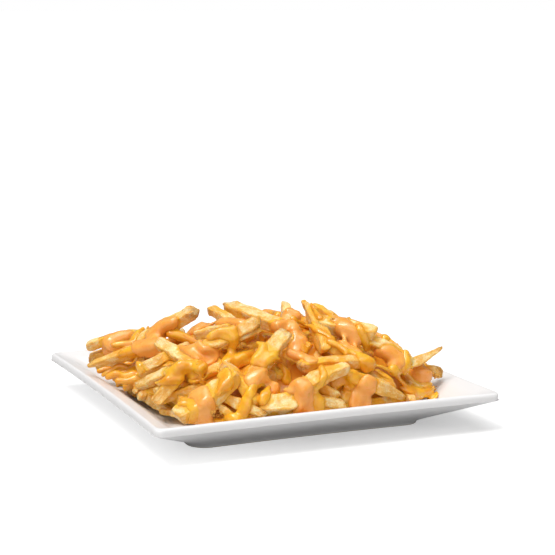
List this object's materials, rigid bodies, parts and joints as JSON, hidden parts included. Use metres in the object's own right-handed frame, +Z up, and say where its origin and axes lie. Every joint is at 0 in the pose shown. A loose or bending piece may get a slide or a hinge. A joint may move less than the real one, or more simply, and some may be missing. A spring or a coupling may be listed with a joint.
{
  "type": "cheese fries",
  "caption": "Heaped potato fries with cheese sauce and melted cheddar, served on a square white plate with a raised lip and a foot ring.",
  "frame": {"origin": "centre of the plate's square at the level of its foot ring, on the table", "axes": "+Z up; +X and +Y along the plate's sides, with -Y towards the diner's side that the picture shows"},
  "size_m": [0.23, 0.23, 0.0773],
  "materials": {
    "white_glaze": "glossy white glaze",
    "golden_fries": "fried potato, matt with an oily sheen",
    "cheese_sauce": "smooth glossy cheese sauce",
    "melted_cheddar": "glossy melted cheddar"
  },
  "bodies": {
    "root": {"plate": "white_glaze", "fries_heap": "golden_fries"}
  },
  "joints": []
}
